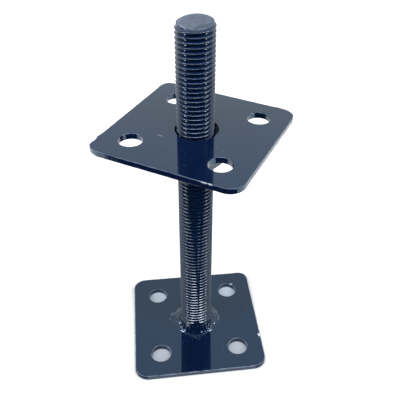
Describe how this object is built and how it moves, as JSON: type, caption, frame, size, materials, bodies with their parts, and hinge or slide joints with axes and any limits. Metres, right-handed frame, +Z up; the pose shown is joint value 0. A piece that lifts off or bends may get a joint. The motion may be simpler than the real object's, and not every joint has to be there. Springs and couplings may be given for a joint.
{
  "type": "adjustable post base",
  "caption": "Threaded rod welded to a drilled base plate, with a loose drilled upper plate carried at any height by a nut.",
  "frame": {"origin": "centre of the base plate's underside, on the rod's axis", "axes": "+Z up along the rod, X and Y along the base plate's sides, -Y towards the camera"},
  "size_m": [0.1303, 0.1302, 0.2559],
  "materials": {
    "painted_plate": "gloss blue-black enamel on steel plate",
    "painted_thread": "gloss blue-black enamel on a rolled thread",
    "painted_weld": "gloss blue-black enamel over a rough weld",
    "painted_nut": "gloss blue-black enamel on a hexagon nut"
  },
  "bodies": {
    "base": {"base_plate": "painted_plate", "threaded_rod": "painted_thread", "base_weld": "painted_weld"},
    "upper_plate": {"upper_plate": "painted_plate"},
    "nut": {"adjusting_nut": "painted_nut"}
  },
  "joints": [
    {"name": "height_slide", "type": "slide", "parent": "base", "child": "upper_plate", "axis": [0, 0, 1], "range_m": [-0.147, 0.066]},
    {"name": "nut_turn", "type": "hinge", "parent": "upper_plate", "child": "nut", "pos_m": [0, 0, 0.1735], "axis": [0, 0, 1], "range_deg": [-17640, 7920]}
  ],
  "couplings": [
    {"joint": "height_slide", "follows": "nut_turn", "m_per_rad": 0.00047746}
  ]
}
